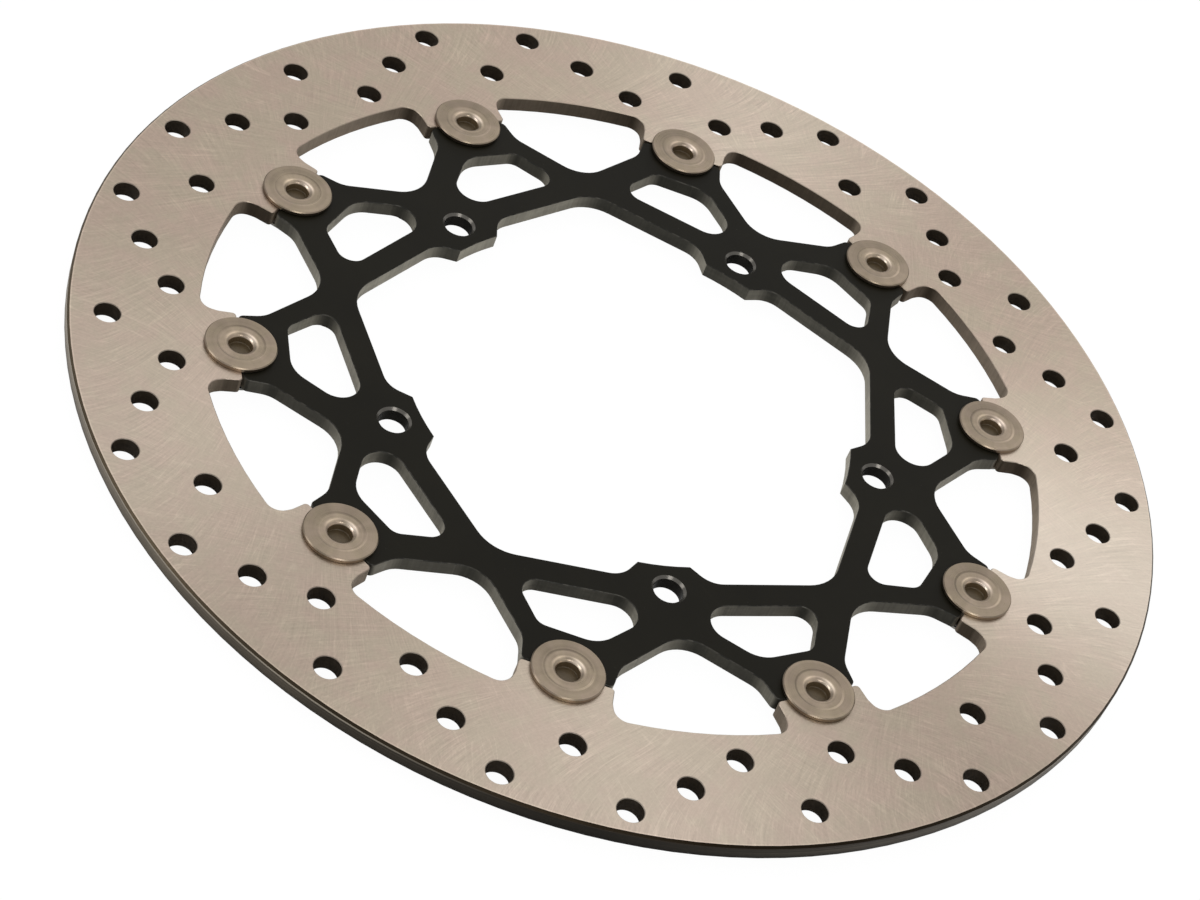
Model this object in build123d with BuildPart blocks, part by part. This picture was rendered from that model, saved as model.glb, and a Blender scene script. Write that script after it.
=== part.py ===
from build123d import *
import math
import os

# Floating brake disc rotor, front wheel of a motorcycle.
# Frame: the rotor axis is Z, with the origin in the hub mounting face of the
# carrier (its rear face).  +Z points to the outer side, where the drive-pin
# heads are.  One mounting bolt hole lies on +Y.  All sizes in millimetres.

os.makedirs("parts", exist_ok=True)

# --- Driving dimensions -----------------------------------------------------

# Friction ring
ring_diameter = 320.0
ring_thickness = 5.0
band_inner_radius = 124.1      # inner edge of the friction band between the lugs
ring_edge = 0.6                # chamfer on the outer edges

# Drilled holes, equally spaced in angle; the radii repeat round the ring
hole_diameter = 7.4
hole_count = 56
hole_edge = 0.2
hole_start_angle = 97.1        # from +X
hole_radii = [132.4, 142.5, 152.6, 135.9, 152.6, 142.5, 132.4, 149.1]

# Carrier
carrier_thickness = 4.5
bolt_count = 5
bolt_circle_radius = 75.0
bolt_hole_radius = 4.25
bolt_edge_outer = 0.7          # countersunk edge on the outer side
bolt_edge_rear = 0.2
seat_radius = 89.0             # the hub seat ends here; the arms are set back
seat_step = 0.3
spigot_radius = 66.5           # hub spigot, touched by the five inner tabs
tab_half_width = 7.5           # at the spigot
arm_tip_fillet = 1.7
lug_tip_fillet = 1.1
edge_break = 0.2               # deburred plan edges of carrier and lugs

# Drive pins, one at each arm
pin_count = 10
pin_circle_radius = 112.8
pin_phase = 1.0                # turn of pins, arms and lugs relative to the bolts
barrel_radius = 7.5
pin_clearance = 0.05           # radial running clearance of the pin in its seat
lug_gap = 0.6                  # gap between a ring lug and a carrier arm
head_radius = 10.15
head_thickness = 1.3
groove_radius = 6.9
pin_tail_z = -4.0

# Washers and circlip behind the ring
wave_inner_radius = 7.75
wave_outer_radius = 9.9
wave_thickness = 0.4
wave_amplitude = 0.28
flat_inner_radius = 7.62
flat_outer_radius = 10.3
flat_thickness = 0.8
flat_edge = 0.12
clip_thickness = 0.8
stack_gap = 0.02               # gap between neighbouring pieces along a pin

# --- Derived angles and heights ---------------------------------------------

pin_pitch = 360.0 / pin_count
bolt_pitch = 360.0 / bolt_count
pin_angles = [90.0 + pin_phase + pin_pitch * (k + 0.5) for k in range(pin_count)]
pin_seat_radius = barrel_radius + pin_clearance

ring_bottom = (carrier_thickness - ring_thickness) / 2.0    # centred on the carrier
head_bottom = ring_bottom + ring_thickness + stack_gap
head_top = head_bottom + head_thickness
wave_top = ring_bottom - stack_gap
wave_bottom = wave_top - wave_thickness - 2.0 * wave_amplitude
flat_top = wave_bottom - stack_gap
flat_bottom = flat_top - flat_thickness
clip_top = flat_bottom - stack_gap
clip_bottom = clip_top - clip_thickness


# --- Helpers ----------------------------------------------------------------

def polar(radius, angle):
    """Point at a radius and an angle in degrees from +X."""
    return (radius * math.cos(math.radians(angle)), radius * math.sin(math.radians(angle)))


def turned(point, angle):
    """Point turned about the origin by an angle in degrees."""
    c, s = polar(1.0, angle)
    return (point[0] * c - point[1] * s, point[0] * s + point[1] * c)


def mirrored(points):
    """Points mirrored in the Y axis, in reverse order."""
    return [(-x, y) for x, y in reversed(points)]


def corners(sketch, *points):
    """Vertices of a sketch that lie on any of the given points."""
    return [v for v in sketch.vertices()
            if any(math.hypot(v.X - x, v.Y - y) < 0.1 for x, y in points)]


def circle_edges(part, radius):
    return part.edges().filter_by(GeomType.CIRCLE).filter_by(
        lambda e: abs(e.radius - radius) < 1e-3
    )


def flat_end_edges(part):
    """Edges of the lowest and the highest horizontal face."""
    faces = part.faces().filter_by(Axis.Z).sort_by(Axis.Z)
    return [e for face in (faces[0], faces[-1]) for e in face.edges()]


def axis_distance(point):
    return math.hypot(point.X, point.Y)


def export_piece(part, name):
    part.label = name
    export_step(part, f"parts/{name}.step")


# --- Plan shapes, drawn with their own axis on +Y ---------------------------

# Opening between two carrier arms: a wide V with a rounded foot, whose sides
# turn outward at the elbow and run out past the arm tips.
gap_foot = (0.0, 90.2)
gap_elbow = (19.70, 103.97)
gap_side = [gap_elbow, (22.86, 110.92), (25.5, 116.7), (25.5, 140.0)]    # x, y
with BuildSketch() as arm_gap:
    with BuildLine():
        Polyline(gap_foot, *gap_side, *mirrored(gap_side), close=True)
    make_face()
    fillet(corners(arm_gap, gap_foot), 10.5)
    fillet(corners(arm_gap, gap_elbow, *mirrored([gap_elbow])), 8.0)

# Carrier window on the -X side of a bolt hole; a mirror image is on the other.
window_corners = [
    # x, y, fillet radius
    (-43.71, 75.58, 4.5),
    (-38.60, 91.50, 4.2),
    (-22.60, 96.66, 9.0),
    (0.72, 80.96, 6.2),
]
with BuildSketch() as window:
    with BuildLine():
        Polyline(*[(x, y) for x, y, _ in window_corners], close=True)
    make_face()
    for x, y, radius in window_corners:
        fillet(corners(window, (x, y)), radius)

# Bay of the central opening, from one tab to the next.  It runs from the
# spigot up the slanted flank of the tab, along a nearly straight edge and
# round the corner midway between two bolts.
bay_tab = (tab_half_width, math.sqrt(spigot_radius ** 2 - tab_half_width ** 2))
bay_shoulder = (12.7, 71.55)
bay_near_shoulder = (-bay_shoulder[0], bay_shoulder[1])
bay_middle = turned((0.0, 83.2), bolt_pitch / 2.0)
bay_far_shoulder = turned(bay_shoulder, bolt_pitch)
shoulder_fillet = 7.5
with BuildSketch() as bay:
    with BuildLine():
        Polyline(
            (0.0, 0.0),
            (-bay_tab[0], bay_tab[1]),
            bay_near_shoulder,
            bay_middle,
            bay_far_shoulder,
            turned(bay_tab, bolt_pitch),
            close=True,
        )
    make_face()
    fillet(corners(bay, bay_near_shoulder), shoulder_fillet)
    fillet(corners(bay, bay_middle), 12.5)
    fillet(corners(bay, bay_far_shoulder), shoulder_fillet)

# Recess in the ring between two lugs: the inner edge of the friction band is
# an arc about the rotor axis, the lug flanks bow outward and the lug tips
# flare back in beside the pins.
recess_end = polar(band_inner_radius, 90.0 - 11.2)
recess_bend = (23.9, 116.4)
recess_side = [(22.55, 96.0), (22.55, 111.55), recess_bend, recess_end]    # x, y
recess_start = (-recess_end[0], recess_end[1])
with BuildSketch() as recess:
    with BuildLine():
        Polyline(*mirrored(recess_side), *recess_side)
        ThreePointArc(recess_end, (0.0, band_inner_radius), recess_start)
    make_face()
    fillet(corners(recess, recess_start, recess_end), 4.2)
    fillet(corners(recess, recess_bend, *mirrored([recess_bend])), 4.0)


# --- Carrier: flat plate with ten arms, ten windows and five bolt tabs ------

def on_bolt_hole(edge):
    """True for the edges of a bolt hole and of its countersink."""
    return (
        edge.geom_type == GeomType.CIRCLE
        and edge.radius < bolt_hole_radius + bolt_edge_outer + 1e-3
        and abs(axis_distance(edge.arc_center) - bolt_circle_radius) < 1e-3
    )


def make_carrier():
    arm_face = pin_circle_radius - lug_gap / 2.0
    with BuildPart() as carrier:
        with BuildSketch() as plan:
            # decagon with a flat side at each pin
            with Locations(Rotation(0, 0, pin_angles[0] + pin_pitch / 2.0)):
                RegularPolygon(radius=arm_face, side_count=pin_count, major_radius=False)
            for k in range(pin_count):
                with Locations(Rotation(0, 0, pin_phase + pin_pitch * k)):
                    add(arm_gap.sketch, mode=Mode.SUBTRACT)
            # only the arm tips lie this far out
            fillet([v for v in plan.vertices() if axis_distance(v) > 112.9], arm_tip_fillet)
            with PolarLocations(pin_circle_radius, pin_count, start_angle=pin_angles[0]):
                Circle(pin_seat_radius, mode=Mode.SUBTRACT)
            for k in range(bolt_count):
                with Locations(Rotation(0, 0, bolt_pitch * k)):
                    add(bay.sketch, mode=Mode.SUBTRACT)
                    add(window.sketch, mode=Mode.SUBTRACT)
                    add(mirror(window.sketch, about=Plane.YZ, mode=Mode.PRIVATE),
                        mode=Mode.SUBTRACT)
            Circle(spigot_radius, mode=Mode.SUBTRACT)
            with PolarLocations(bolt_circle_radius, bolt_count, start_angle=90.0):
                Circle(bolt_hole_radius, mode=Mode.SUBTRACT)
        extrude(amount=carrier_thickness)

        # the outer-side bolt edges sort after the rear ones
        bolt_edges = circle_edges(carrier, bolt_hole_radius).sort_by(Axis.Z)
        chamfer(bolt_edges[bolt_count:], bolt_edge_outer)
        chamfer([e for e in flat_end_edges(carrier) if not on_bolt_hole(e)], edge_break)
        bolt_edges = circle_edges(carrier, bolt_hole_radius).sort_by(Axis.Z)
        chamfer(bolt_edges[:bolt_count], bolt_edge_rear)

        # the arms stand clear of the hub's plane, so only the seat touches the hub
        with BuildSketch():
            Circle(ring_diameter / 2.0)
            Circle(seat_radius, mode=Mode.SUBTRACT)
        extrude(amount=seat_step, mode=Mode.SUBTRACT)
    return carrier.part


# --- Friction ring: flat band with ten lugs and drilled holes ---------------

def make_friction_ring():
    lug_face = pin_circle_radius + lug_gap / 2.0
    rim_limit = band_inner_radius + 0.5
    with BuildPart() as ring:
        with BuildSketch(Plane.XY.offset(ring_bottom)) as plan:
            Circle(ring_diameter / 2.0)
            with Locations(Rotation(0, 0, pin_angles[0] + pin_pitch / 2.0)):
                RegularPolygon(radius=lug_face, side_count=pin_count, major_radius=False,
                               mode=Mode.SUBTRACT)
            for k in range(pin_count):
                with Locations(Rotation(0, 0, pin_phase + pin_pitch * k)):
                    add(recess.sketch, mode=Mode.SUBTRACT)
            # only the lug tips lie this far in
            fillet([v for v in plan.vertices() if axis_distance(v) < 116.0], lug_tip_fillet)
            with PolarLocations(pin_circle_radius, pin_count, start_angle=pin_angles[0]):
                Circle(pin_seat_radius, mode=Mode.SUBTRACT)
            for k in range(hole_count):
                angle = hole_start_angle + k * 360.0 / hole_count
                with Locations(polar(hole_radii[k % len(hole_radii)], angle)):
                    Circle(hole_diameter / 2.0, mode=Mode.SUBTRACT)
        extrude(amount=ring_thickness)
        chamfer(circle_edges(ring, ring_diameter / 2.0), ring_edge)
        chamfer(circle_edges(ring, hole_diameter / 2.0), hole_edge)
        inner_rim = [e for e in flat_end_edges(ring)
                     if axis_distance(e.center()) < rim_limit
                     and axis_distance(e @ 0) < rim_limit]
        chamfer(inner_rim, edge_break)
    return ring.part


# --- Drive pins: flanged pins, hollow from both ends ------------------------
# Each sits half in a ring lug and half in a carrier arm and keys them together.

mouth_radius = 3.25            # hollow of the pin head
mouth_floor = head_top - 3.0
mouth_floor_edge = 0.15
mouth_arc_start = (mouth_radius, head_top - 1.0)
mouth_arc_middle = (3.68, head_top - 0.46)
mouth_arc_end = (4.75, head_top - 0.22)
head_edge_front = 0.3
head_edge_rear = 0.12
neck_flare = (0.25, 0.01)      # width and height of the flare under the head
groove_top = clip_top + 0.01
groove_bottom = clip_bottom - 0.03
tail_edge = 0.5                # chamfer at the tail, outside and in the bore
tail_bore_radius = 4.1
tail_bore_end = head_top - 5.2
tail_bore_tip = head_top - 6.2


def make_drive_pin(center_x, center_y):
    # half section in the plane through the pin's own axis: radius, height
    section = Plane(origin=(center_x, center_y, 0.0), x_dir=(1, 0, 0), z_dir=(0, -1, 0))
    with BuildPart() as pin:
        with BuildSketch(section):
            with BuildLine():
                Polyline(
                    (0.0, mouth_floor),
                    (mouth_radius - mouth_floor_edge, mouth_floor),
                    (mouth_radius, mouth_floor + mouth_floor_edge),
                    mouth_arc_start,
                )
                ThreePointArc(mouth_arc_start, mouth_arc_middle, mouth_arc_end)
                Polyline(
                    mouth_arc_end,
                    (6.35, head_top - 0.13),
                    (6.95, head_top),
                    (head_radius - head_edge_front, head_top),
                    (head_radius, head_top - head_edge_front),
                    (head_radius, head_bottom + head_edge_rear),
                    (head_radius - head_edge_rear, head_bottom),
                    (barrel_radius + neck_flare[0], head_bottom),
                    (barrel_radius, head_bottom - neck_flare[1]),
                    (barrel_radius, groove_top),
                    (groove_radius, groove_top),
                    (groove_radius, groove_bottom),
                    (barrel_radius, groove_bottom),
                    (barrel_radius, pin_tail_z + tail_edge),
                    (barrel_radius - tail_edge, pin_tail_z),
                    (tail_bore_radius + tail_edge, pin_tail_z),
                    (tail_bore_radius, pin_tail_z + tail_edge),
                    (tail_bore_radius, tail_bore_end),
                    (0.0, tail_bore_tip),
                    (0.0, mouth_floor),
                )
            make_face()
        revolve(axis=Axis((center_x, center_y, 0.0), (0, 0, 1)))
    return pin.part


# --- Wave washers: thin spring rings with three waves, behind the ring ------

wave_count = 3
wave_fade_radius = 5.0         # the waves fade out inside this radius
sheet_half_width = 12.0
sheet_step = 0.75


def wave_height(x, y):
    """Height of the washer's lower surface."""
    middle = (wave_bottom + wave_top) / 2.0
    fade = min(1.0, math.hypot(x, y) / wave_fade_radius) ** 2
    wave = math.cos(wave_count * math.atan2(y, x))
    return middle - wave_thickness / 2.0 + wave_amplitude * fade * wave


def make_wave_master():
    """Wave washer on the rotor axis, to be copied to each pin."""
    point_count = round(2.0 * sheet_half_width / sheet_step) + 1
    grid = [-sheet_half_width + sheet_step * i for i in range(point_count)]
    sheet = Face.make_surface_from_array_of_points(
        [[(x, y, wave_height(x, y)) for y in grid] for x in grid], tol=1e-3
    )
    with BuildPart() as master:
        # a tube taller than the waves, trimmed to the thickened sheet
        with BuildSketch(Plane.XY.offset(wave_bottom - 1.0)):
            Circle(wave_outer_radius)
            Circle(wave_inner_radius, mode=Mode.SUBTRACT)
        extrude(amount=3.0)
        extrude(sheet, amount=wave_thickness, dir=(0, 0, 1), mode=Mode.INTERSECT)
    return master.part


def place_wave_washer(master, center_x, center_y, angle):
    with BuildPart() as washer:
        with Locations(Location((center_x, center_y, 0.0), (0.0, 0.0, angle))):
            add(master)
    return washer.part


# --- Flat washers, between wave washer and circlip --------------------------

def make_flat_washer(center_x, center_y):
    with BuildPart() as washer:
        with BuildSketch(Plane.XY.offset(flat_bottom)):
            with Locations((center_x, center_y)):
                Circle(flat_outer_radius)
                Circle(flat_inner_radius, mode=Mode.SUBTRACT)
        extrude(amount=flat_thickness)
        chamfer(circle_edges(washer, flat_outer_radius), flat_edge)
    return washer.part


# --- Circlips: external retaining rings with two plier eyes -----------------
# Drawn about the pin, with local +X pointing away from the rotor axis.

clip_outer_radius = 9.0
clip_offset = -0.45            # the outer circle is off centre, thinning the eye side
clip_inner_radius = groove_radius + 0.03
eye_center = (8.55, 2.55)
eye_radius = 1.65
eye_hole_center = (8.75, 2.65)
eye_hole_radius = 0.7
slot_center = 8.9              # slot between the two eyes
slot_length = 8.0
slot_width = 2.3


def make_circlip(center_x, center_y, angle):
    face = Plane(origin=(center_x, center_y, clip_bottom),
                 x_dir=(*polar(1.0, angle), 0.0), z_dir=(0, 0, 1))
    with BuildPart() as clip:
        with BuildSketch(face):
            with Locations((clip_offset, 0.0)):
                Circle(clip_outer_radius)
            for side in (-1, 1):
                with Locations((eye_center[0], side * eye_center[1])):
                    Circle(eye_radius)
            Circle(clip_inner_radius, mode=Mode.SUBTRACT)
            with Locations((slot_center, 0.0)):
                Rectangle(slot_length, slot_width, mode=Mode.SUBTRACT)
            for side in (-1, 1):
                with Locations((eye_hole_center[0], side * eye_hole_center[1])):
                    Circle(eye_hole_radius, mode=Mode.SUBTRACT)
        extrude(amount=clip_thickness)
    return clip.part


# --- Build and export -------------------------------------------------------

export_piece(make_carrier(), "carrier")
export_piece(make_friction_ring(), "friction_ring")

wave_master = make_wave_master()
for number, angle in enumerate(pin_angles, start=1):
    x, y = polar(pin_circle_radius, angle)
    export_piece(make_drive_pin(x, y), f"drive_pin_{number:02d}")
    export_piece(place_wave_washer(wave_master, x, y, angle), f"wave_washer_{number:02d}")
    export_piece(make_flat_washer(x, y), f"flat_washer_{number:02d}")
    export_piece(make_circlip(x, y, angle), f"circlip_{number:02d}")
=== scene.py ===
"""Floating brake disc: a cross-ground steel friction ring round a black alloy carrier, joined by
turned drive pins with washers and circlips behind.  The disc lies flat, its axis on Z, and its
carrier, ring and pins are seen from above, from the -X -Y side."""
import math

import bpy
from mathutils import Matrix, Vector


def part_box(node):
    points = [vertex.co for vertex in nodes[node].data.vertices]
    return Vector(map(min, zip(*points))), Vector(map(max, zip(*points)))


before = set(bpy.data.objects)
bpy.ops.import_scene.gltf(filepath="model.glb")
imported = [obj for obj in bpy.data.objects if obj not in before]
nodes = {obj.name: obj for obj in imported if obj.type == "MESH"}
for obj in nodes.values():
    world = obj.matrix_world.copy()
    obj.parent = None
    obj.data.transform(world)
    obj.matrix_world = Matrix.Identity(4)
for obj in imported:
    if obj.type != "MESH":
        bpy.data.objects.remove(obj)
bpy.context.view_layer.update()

scene = bpy.context.scene

MM = 0.001


# ---------------------------------------------------------------------------
# shader building
# ---------------------------------------------------------------------------
def put(tree, socket, value):
    """Link or set one input; None leaves it alone."""
    if value is None:
        return
    if isinstance(value, Signal):
        tree.links.new(value.socket, socket)
    elif isinstance(value, tuple) and len(value) == 3 and socket.type == "RGBA":
        socket.default_value = (*value, 1.0)
    else:
        socket.default_value = value


def add_node(tree, kind, inputs, **settings):
    node = tree.nodes.new(kind)
    for key, value in settings.items():
        setattr(node, key, value)
    for key, value in inputs.items():
        put(tree, node.inputs[key], value)
    return node


def signal(tree, kind, inputs=None, output=0, **settings):
    """Add a node and give one of its outputs."""
    return Signal(tree, add_node(tree, kind, inputs or {}, **settings).outputs[output])


def calculate(tree, operation, *values):
    return signal(tree, "ShaderNodeMath", dict(enumerate(values)), operation=operation)


class Signal:
    """A node output.  Each operator adds one Math node, so brackets shape the tree.
    In step, mix and blend, `off` belongs to 0 and `on` to 1."""

    def __init__(self, tree, socket):
        self.tree = tree
        self.socket = socket

    def __add__(self, other):
        return calculate(self.tree, "ADD", self, other)

    def __radd__(self, other):
        return calculate(self.tree, "ADD", other, self)

    def __sub__(self, other):
        return calculate(self.tree, "SUBTRACT", self, other)

    def __rsub__(self, other):
        return calculate(self.tree, "SUBTRACT", other, self)

    def __mul__(self, other):
        return calculate(self.tree, "MULTIPLY", self, other)

    def __pow__(self, other):
        return calculate(self.tree, "POWER", self, other)

    def __abs__(self):
        return calculate(self.tree, "ABSOLUTE", self)

    def math(self, operation, *others):
        return calculate(self.tree, operation, self, *others)

    def vector(self, operation, other=None, output="Vector"):
        return signal(self.tree, "ShaderNodeVectorMath", {0: self, 1: other}, output,
                      operation=operation)

    def shade(self, colour):
        """The colour times this number."""
        return signal(self.tree, "ShaderNodeVectorMath", {0: colour, "Scale": self}, "Vector",
                      operation="SCALE")

    def split(self):
        node = add_node(self.tree, "ShaderNodeSeparateXYZ", {0: self})
        return [Signal(self.tree, output) for output in node.outputs]

    def noise(self, scale=1.0, detail=3.0, rough=0.6, shift=None, stretch=None):
        """3D noise at this point, which may first be shifted or stretched."""
        point = self
        if shift:
            point = point.vector("ADD", shift)
        if stretch:
            point = point.vector("MULTIPLY", stretch)
        inputs = {"Vector": point, "Scale": scale, "Detail": detail, "Roughness": rough}
        return signal(self.tree, "ShaderNodeTexNoise", inputs, noise_dimensions="3D")

    def noise_along(self, scale, detail=3.0, rough=0.6):
        """1D noise along this number."""
        inputs = {"W": self, "Scale": scale, "Detail": detail, "Roughness": rough}
        return signal(self.tree, "ShaderNodeTexNoise", inputs, noise_dimensions="1D")

    def spots(self, scale, width):
        """Round specks: 1 at scattered points, 0 elsewhere."""
        distance = signal(self.tree, "ShaderNodeTexVoronoi", {"Vector": self, "Scale": scale},
                          "Distance", voronoi_dimensions="3D", feature="F1")
        return distance.step(off=width, on=width * 0.4)

    def map_range(self, source, target, interpolation):
        inputs = {
            "Value": self,
            "From Min": source[0],
            "From Max": source[1],
            "To Min": target[0],
            "To Max": target[1],
        }
        return signal(self.tree, "ShaderNodeMapRange", inputs, interpolation_type=interpolation)

    def step(self, off, on):
        """A smooth step, rising or falling."""
        target = (1.0, 0.0) if off > on else (0.0, 1.0)
        return self.map_range((min(off, on), max(off, on)), target, "SMOOTHSTEP")

    def span(self, low, high, trim=0.3):
        """Spread trim .. 1 - trim, the useful range of a noise, over low .. high."""
        return self.map_range((trim, 1.0 - trim), (low, high), "LINEAR")

    def mix(self, off, on):
        """Mix two numbers."""
        return signal(self.tree, "ShaderNodeMix", {0: self, 2: off, 3: on}, data_type="FLOAT")

    def blend(self, off, on):
        """Mix two colours."""
        return signal(self.tree, "ShaderNodeMix", {0: self, 6: off, 7: on}, 2,
                      data_type="RGBA", blend_type="MIX")

    def bump(self, strength, distance):
        inputs = {"Height": self, "Strength": strength, "Distance": distance}
        return signal(self.tree, "ShaderNodeBump", inputs)


def join(x, y, z):
    return signal(x.tree, "ShaderNodeCombineXYZ", {0: x, 1: y, 2: z})


def new_material(name):
    """An empty material and its node tree."""
    material = bpy.data.materials.new(name)
    material.use_nodes = True
    material.node_tree.nodes.clear()
    return material, material.node_tree


def finish(tree, colour, metallic, rough, normal, anisotropic=None, tangent=None, specular=0.5):
    inputs = {
        "Base Color": colour,
        "Metallic": metallic,
        "Roughness": rough,
        "Specular IOR Level": specular,
        "Normal": normal,
        "Anisotropic": anisotropic,
        "Tangent": tangent,
    }
    surface = signal(tree, "ShaderNodeBsdfPrincipled", inputs)
    add_node(tree, "ShaderNodeOutputMaterial", {0: surface})


# ---------------------------------------------------------------------------
# places and directions on a part
# ---------------------------------------------------------------------------
def own_point(tree, centre=(0.0, 0.0)):
    """Position in the part's own frame, from an upright axis through centre."""
    coordinate = signal(tree, "ShaderNodeTexCoord", output="Object")
    return coordinate.vector("SUBTRACT", (*centre, 0.0))


def polar(point):
    """Radius, unit direction outward, and z."""
    x, y, z = point.split()
    plan = join(x, y, 0.0)
    return plan.vector("LENGTH", output="Value"), plan.vector("NORMALIZE"), z


def levelness(tree):
    """1 where the surface lies flat, 0 on an upright wall."""
    return abs(signal(tree, "ShaderNodeNewGeometry", output="True Normal").split()[2])


def flat_face(level):
    return level.step(off=0.80, on=0.93)


def chamfer(level):
    return level.step(off=0.45, on=0.6) * level.step(off=0.93, on=0.80)


def lobe(direction, axis, power):
    """1 along the axis, fading to 0 square to it and beyond."""
    return direction.vector("DOT_PRODUCT", axis, "Value").math("MAXIMUM", 0.0) ** power


def compass(angle):
    """Unit vector at an angle in degrees from +X towards +Y."""
    return (math.cos(math.radians(angle)), math.sin(math.radians(angle)), 0.0)


def sector(outward, angle, power):
    """1 towards the given angle round the axis, fading to 0 on either side."""
    return lobe(outward, compass(angle), power)


def view_facing(tree):
    """1 on an upright wall square to the viewing direction in plan, 0 on one side on; it sets where
    cut walls are painted dark or light.
    """
    normal = signal(tree, "ShaderNodeNewGeometry", output="Normal")
    return abs(normal.vector("DOT_PRODUCT", compass(-148.0), "Value")) ** 2.0


def round_tangent(outward):
    """World direction running round the axis, which spreads highlights across the marks."""
    x, y, _ = outward.split()
    return signal(outward.tree, "ShaderNodeVectorTransform", {0: join(y * -1.0, x, 0.0)},
                  vector_type="VECTOR", convert_from="OBJECT", convert_to="WORLD")


# ---------------------------------------------------------------------------
# friction ring: cross-ground stainless steel
# ---------------------------------------------------------------------------
ring_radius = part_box("friction_ring")[1].x
GRIND_PIVOT_RADIUS = ring_radius + 8.0 * MM  # where the grinding arcs run radially
GRIND_CURL = 100.0  # turn of an arc, per square of the distance inside that radius

# (off, on) edges of the ring's zones
RIM_RADII = (ring_radius - 1.2 * MM, ring_radius - 0.9 * MM)
EDGE_HIGHLIGHT_RADII = (ring_radius - 1.15 * MM, ring_radius - 0.85 * MM)
HOLES_INNER_RADII = (126.5 * MM, 127.0 * MM)
HOLES_OUTER_RADII = (ring_radius - 3.0 * MM, ring_radius - 3.5 * MM)
RIM_LINE_BOTTOM = (3.55 * MM, 3.68 * MM)
RIM_LINE_TOP = (4.16 * MM, 4.08 * MM)
RIM_FOOT = (2.4 * MM, 0.2 * MM)


def grinding(radius, outward, hand, seed, across, along, detail, wander):
    """One family of grinding arcs: the same curve turned about the axis, nearly radial at the
    rim and leaning over towards the bore.  The sign of hand is the way it leans; wander turns
    the arcs a little from place to place; across and along are the noise frequencies."""
    lean = GRIND_PIVOT_RADIUS - radius
    angle = lean * lean * (GRIND_CURL * hand) + wander
    cosine = angle.math("COSINE")
    sine = angle.math("SINE")
    x, y, _ = outward.split()
    turned_x = x * cosine + y * sine
    turned_y = y * cosine - x * sine
    place = join(turned_x * across, turned_y * across, radius * along + seed)
    return place.noise(detail=detail, rough=0.55)


def hairlines(field, width):
    """Thin lines along the level curve of a stretched noise field."""
    return abs(field - 0.5).step(off=width, on=0.0)


def grinding_marks(point, radius, outward):
    """Pairs of crossing marks: fine lines, longer lines, broken scratches and soft fans."""

    def drift(height, scale, amount):
        field = point.noise(shift=(0.0, 0.0, height), scale=scale, detail=0.0, rough=0.5)
        return (field - 0.5) * amount

    def crossed(hand, seeds, **pattern):
        return [grinding(radius, outward, side, seed, **pattern)
                for side, seed in zip((hand, -hand), seeds)]

    soft = drift(height=5.0, scale=12.0, amount=0.14)
    line_drift = drift(height=8.0, scale=14.0, amount=0.16)
    scratch_drift = drift(height=3.0, scale=11.0, amount=0.12)
    fine = crossed(1.0, seeds=(0.0, 7.3), across=200.0, along=75.0, detail=3.0, wander=soft)
    lines = [
        hairlines(field, width=0.034)
        for field in crossed(1.1, seeds=(31.0, 57.0), across=110.0, along=48.0, detail=2.0,
                             wander=line_drift)
    ]
    scratch_fields = crossed(0.75, seeds=(131.0, 157.0), across=48.0, along=24.0, detail=1.0,
                             wander=scratch_drift)
    scratches = [
        hairlines(field, width=0.018)
        * point.noise(shift=shift, scale=60.0, detail=2.0).step(off=0.52, on=0.60)
        for field, shift in zip(scratch_fields, ((9.0, 0.0, 0.0), (0.0, 9.0, 0.0)))
    ]
    fans = crossed(1.0, seeds=(83.0, 97.0), across=34.0, along=9.0, detail=4.0, wander=soft)
    return fine, lines, scratches, fans


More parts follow.
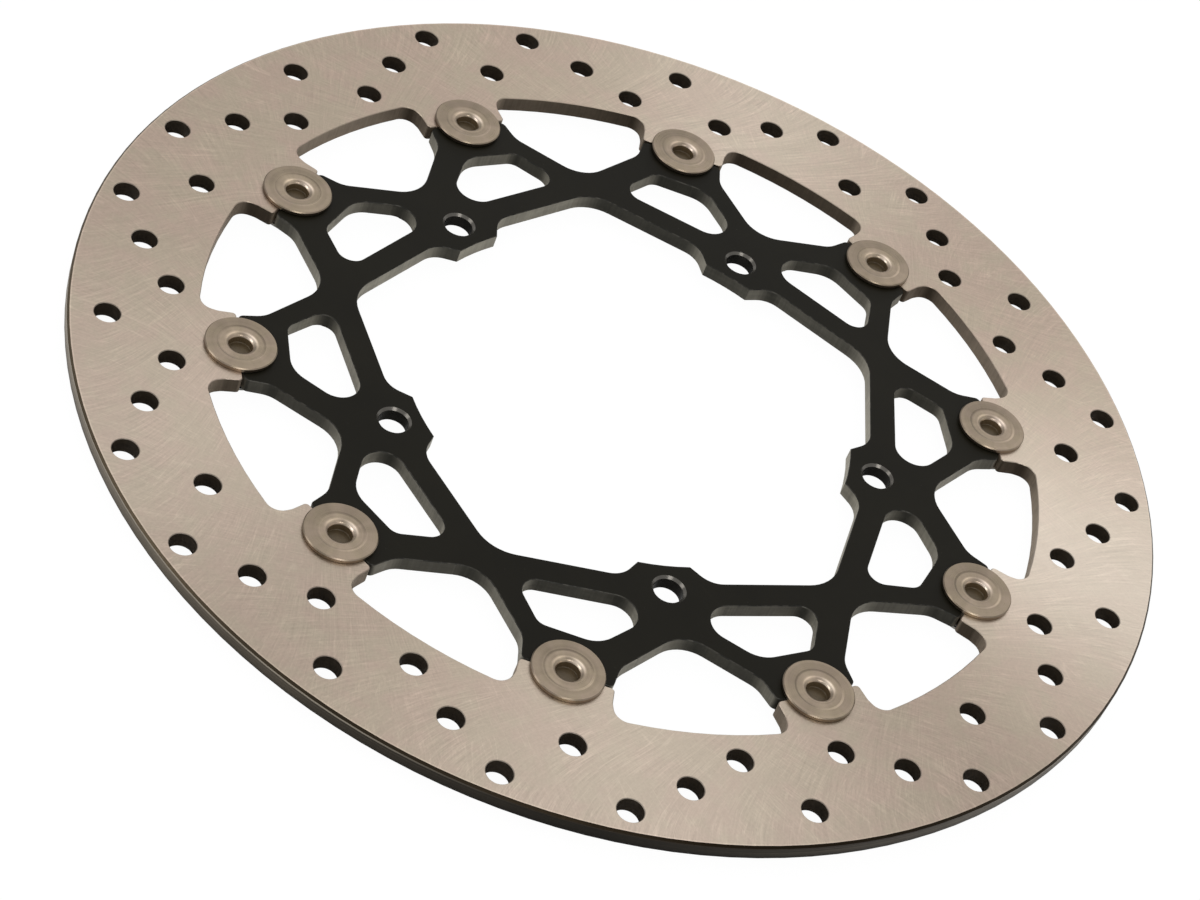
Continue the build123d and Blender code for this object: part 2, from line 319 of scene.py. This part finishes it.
def ring_face(point, radius, outward, marks):
    """The plain steel colour and the ground face made from it, with painted sheen, glints and shade
    in sectors round the axis.
    """
    fine, lines, scratches, fans = marks
    patch_a, patch_b = [
        point.noise(shift=shift, scale=75.0).step(off=0.36, on=0.62)
        for shift in ((4.0, 2.0, 0.0), (1.0, 6.0, 0.0))
    ]

    def towards(angle, power):
        return sector(outward, angle, power)

    # painted sheen: the marks catch the light in four sectors, two to each family
    sheen_a = towards(angle=28.0, power=14.0) * 1.0 + towards(angle=227.0, power=10.0) * 0.9
    sheen_b = towards(angle=160.0, power=10.0) * 0.7 + towards(angle=306.0, power=10.0) * 1.2
    sheen = sheen_a + sheen_b

    # strength of each family's marks: more in its own sectors, a painted glint, and in its patches,
    # less in the other's
    sector_glint_a = towards(angle=28.0, power=14.0) * 0.8 + towards(angle=218.0, power=16.0) * 0.8
    sector_glint_b = towards(angle=160.0, power=10.0) * 0.15 + towards(angle=297.0, power=8.0)
    show_a = (sector_glint_a * 0.50 + 0.72) * (patch_a * 0.9 + 0.4) * (1.0 - sector_glint_b * 0.55)
    show_b = (sector_glint_b * 0.42 + 0.74) * (patch_b * 0.9 + 0.4) * (1.0 - sector_glint_a * 0.50)

    fine_gain = 0.56
    line_gain = 0.12
    scratch_gain = 0.13
    streak = ((fine[0] - 0.5) * (show_a * fine_gain)
              + (fine[1] - 0.5) * (show_b * fine_gain))
    drawn = lines[0] * (show_a * line_gain) + lines[1] * (show_b * line_gain)
    drawn += scratches[0] * scratch_gain + scratches[1] * scratch_gain
    # soft fans of painted sheen in each family's sectors
    fan_sheen = (fans[0] - 0.5) * (sheen_a * 0.16) + (fans[1] - 0.5) * (sheen_b * 0.14)
    cloud = point.noise(scale=26.0, detail=4.0) - 0.5
    grain = point.noise(scale=1300.0, detail=2.0) - 0.5

    # brightness: painted sheen, two narrow painted glints, one pale painted highlight and two
    # sectors of painted shade, then the marks
    tone = 0.975 + sheen * 0.27
    tone += towards(angle=312.0, power=5.0) * 0.20 + towards(angle=45.0, power=5.0) * 0.05
    pale = towards(angle=302.0, power=25.0)
    shaded_sectors = towards(angle=184.0, power=30.0) * 0.09 + towards(angle=266.0, power=30.0) * 0.12
    tone += pale * 0.07 - shaded_sectors
    tone += streak + drawn
    tone += fan_sheen
    tone += cloud * 0.12 + grain * 0.26

    warm = point.noise(shift=(3.0, 1.0, 0.0), scale=90.0, detail=4.0, rough=0.65)
    steel = warm.step(off=0.36, on=0.64).blend(
        off=(0.418, 0.353, 0.278), on=(0.433, 0.342, 0.281))
    # painted highlight colour: the sheen and the pale glint turn the steel cooler and more neutral
    steel = (sheen * 0.42 + pale * 0.30).blend(off=steel, on=(0.472, 0.418, 0.360))
    top = tone.shade(steel)
    # a painted highlight brightens the very edge, faint towards 288 degrees
    gleam = towards(angle=288.0, power=3.0).mix(off=0.22, on=0.02)
    return steel, (1.0 + radius.step(*EDGE_HIGHLIGHT_RADII) * gleam).shade(top)


def ring_rim(point, z, outward):
    """Turned rim: its fine lines, its colour with a painted highlight line and painted shade, and
    the colour of its dark bevel, painted darker on the -X -Y side.
    """
    turning = point.noise(stretch=(9.0, 9.0, 4200.0))
    wash = point.noise(scale=38.0)
    shadow = sector(outward, angle=222.0, power=1.4)
    bevel_shadow = sector(outward, angle=235.0, power=1.5)
    line_shadow = sector(outward, angle=235.0, power=1.0).step(off=0.766, on=0.951)

    edge = (turning.span(low=0.55, high=1.5) * wash.span(low=0.80, high=1.20)).shade(
        shadow.blend(off=(0.392, 0.333, 0.254), on=(0.020, 0.016, 0.011)))
    # a painted highlight line under the bevel, bright except on the -X -Y side, where it is painted
    # dark
    line = z.step(*RIM_LINE_BOTTOM) * z.step(*RIM_LINE_TOP)
    line_colour = line_shadow.blend(off=(0.480, 0.425, 0.345), on=(0.034, 0.025, 0.016))
    edge = (line * 0.85).blend(edge, line_colour)
    # painted shade: the rim darkens towards its foot
    edge = (1.0 - z.step(*RIM_FOOT) * 0.50).shade(edge)
    bevel = wash.span(low=0.85, high=1.15).shade(
        bevel_shadow.blend(off=(0.115, 0.090, 0.060), on=(0.022, 0.016, 0.010)))
    return turning, edge, bevel


def ring_material():
    material, tree = new_material("ring_ground_steel")
    point = own_point(tree)
    radius, outward, z = polar(point)
    level = levelness(tree)
    face = flat_face(level)
    slope = chamfer(level)
    rim = radius.step(*RIM_RADII)
    holes = radius.step(*HOLES_INNER_RADII) * radius.step(*HOLES_OUTER_RADII)

    marks = grinding_marks(point, radius, outward)
    fine, lines, scratches, _ = marks
    steel, top = ring_face(point, radius, outward, marks)

    # drilled holes: painted dark as shade and dark reflections, with faint spiral drill marks
    drill = point.noise(stretch=(300.0, 300.0, 5200.0), detail=2.0)
    bore_shade = drill.span(low=0.55, high=1.6).shade((0.040, 0.029, 0.018))

    # cut flanks between the lugs: painted dark as shade where square to the view and painted light
    # as reflection elsewhere, with upright cutting lines
    cut = point.noise(stretch=(1500.0, 1500.0, 60.0))
    burr = point.noise(scale=300.0)
    flank = view_facing(tree).blend(off=(0.420, 0.342, 0.262), on=(0.058, 0.043, 0.028))
    flank = (cut.span(low=0.86, high=1.12) + (burr - 0.5) * 0.5).shade(flank)

    turning, edge, rim_bevel = ring_rim(point, z, outward)
    side = rim.blend(holes.blend(flank, bore_shade), edge)
    # chamfers take the ground steel colour, painted brighter as a highlight, and painted darker as
    # shade in the holes
    bevel = rim.blend(holes.mix(off=1.12, on=0.75).shade(steel), rim_bevel)
    colour = face.blend(slope.blend(side, bevel), top)

    rough_top = 0.40 + ((fine[0] - 0.5) * 0.18 + (fine[1] - 0.5) * 0.18)
    rough = face.math("MAXIMUM", slope).mix(rim.mix(off=0.52, on=0.34), rough_top)

    coarse = (lines[0] + lines[1]) + (scratches[0] + scratches[1])
    height_top = (fine[0] + fine[1]) * 0.6 + coarse * 0.5
    height_side = rim.mix(holes.mix(cut * 0.4, drill * 0.8), turning * 1.0)
    normal = face.mix(height_side, height_top).bump(
        strength=face.mix(off=0.5, on=0.22), distance=0.02 * MM)

    cut_metal = face.math("MAXIMUM", slope).mix(off=0.75, on=1.0)
    metallic = (holes * (1.0 - face)).mix(off=cut_metal, on=0.25)
    finish(tree, colour, metallic, rough, normal, anisotropic=face * 0.20,
           tangent=round_tangent(outward))
    return material


# ---------------------------------------------------------------------------
# carrier: black anodised alloy plate
# ---------------------------------------------------------------------------
BOLT_COUNT = 5
BOLT_CIRCLE_RADIUS = 75.0 * MM
FIRST_BOLT_ANGLE = 90.0
BOLT_ZONE_RADII = (5.6 * MM, 5.2 * MM)  # off, on, from a bolt's axis


def bolt_holes(point):
    """1 within the bolt holes, 0 elsewhere."""
    nearest = None
    for i in range(BOLT_COUNT):
        x, y, _ = compass(FIRST_BOLT_ANGLE + 360.0 / BOLT_COUNT * i)
        bolt = (BOLT_CIRCLE_RADIUS * x, BOLT_CIRCLE_RADIUS * y, 0.0)
        plan = join(*point.split()[:2], 0.0)
        distance = plan.vector("DISTANCE", bolt, "Value")
        nearest = distance if nearest is None else nearest.math("MINIMUM", distance)
    return nearest.step(*BOLT_ZONE_RADII)


def carrier_material():
    material, tree = new_material("carrier_black_anodised")
    point = own_point(tree)
    level = levelness(tree)
    face = flat_face(level)
    slope = chamfer(level)
    bolt = bolt_holes(point)

    # top: grainy black with faint rubs, pale dust and dark pits
    grain = point.noise(scale=2600.0, rough=0.65)
    haze = point.noise(scale=34.0, detail=4.0)
    rub = point.noise(stretch=(900.0, 55.0, 60.0))
    tone = grain.span(low=0.82, high=1.20) * haze.span(low=0.80, high=1.25, trim=0.25)
    tone += rub.step(off=0.60, on=0.78) * 0.16
    top = tone.shade((0.0090, 0.0078, 0.0042))
    dust = point.vector("ADD", (2.0, 5.0, 1.0)).spots(scale=260.0, width=0.030)
    top = (dust * 0.55).blend(off=top, on=(0.10, 0.095, 0.085))
    pit = point.spots(scale=330.0, width=0.035)
    top = (pit * 0.7).blend(off=top, on=(0.003, 0.003, 0.0025))

    # cut edge: painted dark as shade where square to the view and painted light as reflection
    # elsewhere, with upright milling lines and a dulled film
    cut = point.noise(stretch=(1300.0, 1300.0, 50.0))
    blot = point.noise(scale=150.0)
    layers = point.noise(stretch=(30.0, 30.0, 900.0), detail=2.0, rough=0.5)
    side = view_facing(tree).blend(off=(0.500, 0.470, 0.388), on=(0.046, 0.044, 0.035))
    side = (cut.span(low=0.86, high=1.12) * blot.span(low=0.84, high=1.14)
            * layers.span(low=0.90, high=1.08)).shade(side)
    # bolt holes stay fully black and glossier
    side = bolt.blend(off=side, on=(0.030, 0.028, 0.024))

    worn = point.noise(scale=420.0).step(off=0.42, on=0.62)
    bevel = worn.blend(off=(0.020, 0.020, 0.017), on=(0.070, 0.066, 0.056))
    bevel = bolt.blend(off=bevel, on=(0.16, 0.15, 0.135))
    colour = face.blend(slope.blend(side, bevel), top)

    rough = face.mix(bolt.mix(off=0.42, on=0.22), grain.span(low=0.44, high=0.58))
    normal = face.mix(cut * 0.5, grain).bump(
        strength=face.mix(off=0.45, on=0.25), distance=0.015 * MM)
    finish(tree, colour, face.mix(off=0.65, on=0.0), rough, normal,
           specular=face.mix(off=0.5, on=0.11))
    return material


# ---------------------------------------------------------------------------
# drive pins: turned, satin nickel, each about its own axis
# ---------------------------------------------------------------------------
# (off, on) radii from the pin's axis, from the blind hole outwards
HOLE_RADII = (3.55 * MM, 3.35 * MM)
BARREL_RADII = (4.2 * MM, 4.5 * MM)
MOUTH_RADII = (5.2 * MM, 4.2 * MM)
DISH_RADII = (6.9 * MM, 5.6 * MM)
FLAT_RADII = (6.1 * MM, 7.0 * MM)
STEP_INNER_RADII = (6.25 * MM, 6.5 * MM)
STEP_OUTER_RADII = (7.1 * MM, 6.85 * MM)
OUTER_FLAT_RADII = (8.3 * MM, 9.7 * MM)
BRIM_RADII = (9.75 * MM, 9.88 * MM)
# (off, on) depths below the pin's top
HEAD_DEPTHS = (1.3 * MM, 1.1 * MM)
MOUTH_DEPTHS = (1.02 * MM, 0.85 * MM)
HOLE_DEPTHS = (0.90 * MM, 1.10 * MM)
HOLE_FLOOR_DEPTHS = (2.80 * MM, 2.95 * MM)
BARREL_DEPTHS = (1.25 * MM, 1.45 * MM)


def pin_material(name, node):
    low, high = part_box(node)
    centre = ((low.x + high.x) / 2.0, (low.y + high.y) / 2.0)
    material, tree = new_material(name)
    point = own_point(tree, centre)
    radius, outward, z = polar(point)
    face = levelness(tree).step(off=0.55, on=0.85)

    def at_depth(depths):
        return z.step(off=high.z - depths[0], on=high.z - depths[1])

    def towards(angle, power):
        return sector(outward, angle, power)

    # turning marks and wear; the pin's centre seeds each pin differently
    rings = (radius + centre[0] * 3.0).noise_along(scale=5200.0)
    bands = (radius + centre[1] * 5.0).noise_along(scale=1150.0, detail=2.0, rough=0.5)
    x, y, _ = outward.split()
    sweep = join(x * 1.6, y * 1.6, centre[0] * 70.0).noise()
    haze = point.noise(shift=(*centre, 0.0), scale=260.0, detail=4.0)
    grain = point.noise(scale=3600.0, detail=2.0)
    nick = point.noise(stretch=(1500.0, 210.0, 300.0), detail=2.0, rough=0.5)
    nick = nick.step(off=0.70, on=0.78)

    tone = rings.span(low=0.90, high=1.10, trim=0.25) * bands.span(low=0.93, high=1.08, trim=0.25)
    tone = tone * (sweep.span(low=0.90, high=1.12) * haze.span(low=0.93, high=1.07))
    tone += (grain - 0.5) * 0.12 + nick * 0.14
    nickel = haze.step(off=0.35, on=0.65).blend(
        off=(0.262, 0.213, 0.156), on=(0.258, 0.205, 0.158))
    colour = tone.shade(nickel)

    # painted highlights and shade: the dish and the outer flat painted brighter, the rounded mouth,
    # the step and the brim lit on one side, the flat lit on one side and shaded on the other
    head = at_depth(HEAD_DEPTHS)
    dish = radius.step(*DISH_RADII) * head
    mouth = radius.step(*MOUTH_RADII) * at_depth(MOUTH_DEPTHS) * head
    rise = radius.step(*STEP_INNER_RADII) * radius.step(*STEP_OUTER_RADII) * head
    brim = radius.step(*BRIM_RADII) * head
    flat = radius.step(*FLAT_RADII) * head
    shine = 1.0 + (dish * 0.16 + radius.step(*OUTER_FLAT_RADII) * head * 0.06)
    shine += mouth * (towards(angle=-4.0, power=6.0) * 2.40 + towards(angle=88.0, power=6.0) * 1.15)
    shine += rise * (0.04 + towards(angle=-92.0, power=2.0) * 0.75)
    shine += flat * (towards(angle=-95.0, power=1.5) * 0.16 - towards(angle=55.0, power=1.5) * 0.13)
    shine += brim * (0.04 + towards(angle=-105.0, power=2.0) * 0.20)
    colour = shine.shade(colour)
    # the painted glint in the mouth also turns the colour cooler
    glint = mouth * towards(angle=-4.0, power=4.0)
    cool_glint_colour = colour.vector("MULTIPLY", (0.97, 1.02, 1.14))
    colour = glint.blend(colour, cool_glint_colour)

    # inside the blind hole: darker, browner and hardly metallic, a little darker on its floor; down
    # the hidden barrel: somewhat darker
    inside = radius.step(*HOLE_RADII) * at_depth(HOLE_DEPTHS)
    hole_floor = inside * at_depth(HOLE_FLOOR_DEPTHS)
    hole_tint = hole_floor.blend(off=(0.142, 0.099, 0.052), on=(0.112, 0.080, 0.042))
    colour = inside.blend(colour, tone.shade(hole_tint))
    barrel = at_depth(BARREL_DEPTHS) * radius.step(*BARREL_RADII)
    colour = (barrel * 0.5).blend(colour, tone.shade((0.22, 0.19, 0.15)))

    rough = rings.span(low=0.27, high=0.36, trim=0.25) + (haze - 0.5) * 0.10
    rough = inside.mix(off=rough, on=0.45)
    normal = (rings * 0.7 + bands * 0.5).bump(strength=0.28, distance=0.02 * MM)
    finish(tree, colour, inside.mix(off=1.0, on=0.15), rough, normal, anisotropic=face * 0.45,
           tangent=round_tangent(outward))
    return material


# ---------------------------------------------------------------------------
# washers and circlips behind the disc
# ---------------------------------------------------------------------------
def washer_material(name, tint, rough, metallic, spangle):
    """Brushed sheet metal; spangle is how strongly the brushing shows."""
    material, tree = new_material(name)
    point = own_point(tree)
    haze = point.noise(scale=320.0, detail=4.0)
    grain = point.noise(scale=3000.0)
    brush = point.noise(stretch=(2600.0, 240.0, 600.0))
    tone = haze.span(low=0.82, high=1.15) * brush.span(low=1.0 - spangle, high=1.0 + spangle)
    normal = (grain * 0.4 + brush * 0.6).bump(strength=0.3, distance=0.015 * MM)
    finish(tree, tone.shade(tint), metallic, rough + (grain - 0.5) * 0.16, normal)
    return material


ring_steel = ring_material()
carrier_black = carrier_material()
spring_blued = washer_material(
    "spring_blued", tint=(0.20, 0.185, 0.17), rough=0.34, metallic=1.0, spangle=0.14)
washer_zinc = washer_material(
    "washer_zinc", tint=(0.46, 0.45, 0.42), rough=0.38, metallic=1.0, spangle=0.10)
circlip_phosphate = washer_material(
    "circlip_phosphate", tint=(0.030, 0.029, 0.028), rough=0.50, metallic=0.4, spangle=0.20)


def material_for(name):
    if name == "carrier":
        return carrier_black
    if name == "friction_ring":
        return ring_steel
    if name.startswith("drive_pin_"):
        return pin_material("pin_turned_" + name[-2:], name)
    if name.startswith("wave_washer_"):
        return spring_blued
    if name.startswith("flat_washer_"):
        return washer_zinc
    return circlip_phosphate


for name, part in nodes.items():
    part.data.materials.clear()
    part.data.materials.append(material_for(name))
    for polygon in part.data.polygons:
        polygon.material_index = 0


# ---------------------------------------------------------------------------
# floor
# ---------------------------------------------------------------------------
FLOOR_SIZE = 30.0
FLOOR_GAP = 0.2 * MM


def floor_material():
    """To the camera, white with a hint of contact shadow; to the disc, an ordinary board."""
    material, tree = new_material("floor_white")
    camera_ray = signal(tree, "ShaderNodeLightPath", output="Is Camera Ray")
    coordinate = signal(tree, "ShaderNodeTexCoord", output="Object")
    grain = coordinate.noise(scale=900.0, detail=2.0, rough=0.5)
    board_colour = grain.span(low=0.985, high=1.015).shade((0.80, 0.80, 0.80))
    board = signal(tree, "ShaderNodeBsdfDiffuse", {"Color": board_colour})
    glow = signal(tree, "ShaderNodeEmission", {"Color": (1.0, 1.0, 1.0), "Strength": 1.045})
    glow_share = camera_ray.mix(off=0.0, on=0.93)
    mixed = signal(tree, "ShaderNodeMixShader", {0: glow_share, 1: board, 2: glow})
    add_node(tree, "ShaderNodeOutputMaterial", {0: mixed})
    return material


lowest = min(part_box(name)[0].z for name in nodes)
bpy.ops.mesh.primitive_plane_add(size=FLOOR_SIZE, location=(0.0, 0.0, lowest - FLOOR_GAP))
floor = bpy.context.object
floor.name = "floor"
floor.data.materials.append(floor_material())


# ---------------------------------------------------------------------------
# studio light: an even white tent, brighter overhead, and soft boxes
# ---------------------------------------------------------------------------
def build_tent():
    world = bpy.data.worlds.new("tent")
    scene.world = world
    world.use_nodes = True
    tree = world.node_tree
    tree.nodes.clear()
    direction = signal(tree, "ShaderNodeTexCoord", output="Generated")
    camera_ray = signal(tree, "ShaderNodeLightPath", output="Is Camera Ray")

    def glow(axis, power):
        return lobe(direction, tuple(Vector(axis).normalized()), power)

    tent = 0.34 + glow(axis=(0.0, 0.0, 1.0), power=1.5) * 0.32
    tent += glow(axis=(0.64, 0.37, 0.67), power=5.0) * 0.30
    # a paler band just above the horizon, which only low views catch
    height = direction.split()[2]
    tent += height.step(off=-0.05, on=0.06) * height.step(off=0.42, on=0.20) * 0.30
    colour = camera_ray.blend(off=tent.shade((1.0, 0.995, 0.985)), on=(1.0, 1.0, 1.0))
    background = signal(tree, "ShaderNodeBackground", {"Color": colour, "Strength": 1.0})
    add_node(tree, "ShaderNodeOutputWorld", {0: background})


def softbox(name, position, size, power):
    """A rectangular area light aimed at the origin."""
    light = bpy.data.lights.new(name, "AREA")
    light.shape = "RECTANGLE"
    light.size, light.size_y = size
    light.energy = power
    light.color = (1.0, 0.99, 0.97)
    box = bpy.data.objects.new(name, light)
    scene.collection.objects.link(box)
    box.location = position
    aim = Vector((0, 0, 0)) - Vector(position)
    box.rotation_euler = aim.to_track_quat("-Z", "Y").to_euler()
    box.visible_camera = False


build_tent()
softbox("back_box", position=(0.95, 0.55, 1.05), size=(1.1, 0.8), power=1.3)
softbox("left_box", position=(-0.9, 0.75, 0.75), size=(0.5, 0.7), power=2.2)
softbox("front_box", position=(-0.55, -0.75, 1.0), size=(0.45, 0.45), power=2.0)

# ---------------------------------------------------------------------------
# camera: above the disc on its -X -Y side
# ---------------------------------------------------------------------------
CAMERA_PLACE = (-0.582353, -0.333713, 0.587203)
# columns are the camera's right, up and backward directions
CAMERA_AXES = (
    (0.688366461, 0.337283734, -0.642176999),
    (-0.663414987, 0.650737777, -0.369352001),
    (0.293312410, 0.680279375, 0.671705145),
)

lens = bpy.data.cameras.new("camera")
lens.sensor_fit = "HORIZONTAL"
lens.sensor_width = 36.0
lens.lens = 93.9912
lens.clip_start = 0.01
lens.clip_end = 100.0
camera = bpy.data.objects.new("camera", lens)
scene.collection.objects.link(camera)
camera.matrix_world = Matrix.Translation(CAMERA_PLACE) @ Matrix(CAMERA_AXES).to_4x4()
scene.camera = camera

scene.view_settings.view_transform = "Standard"
scene.view_settings.look = "None"
scene.cycles.use_denoising = True
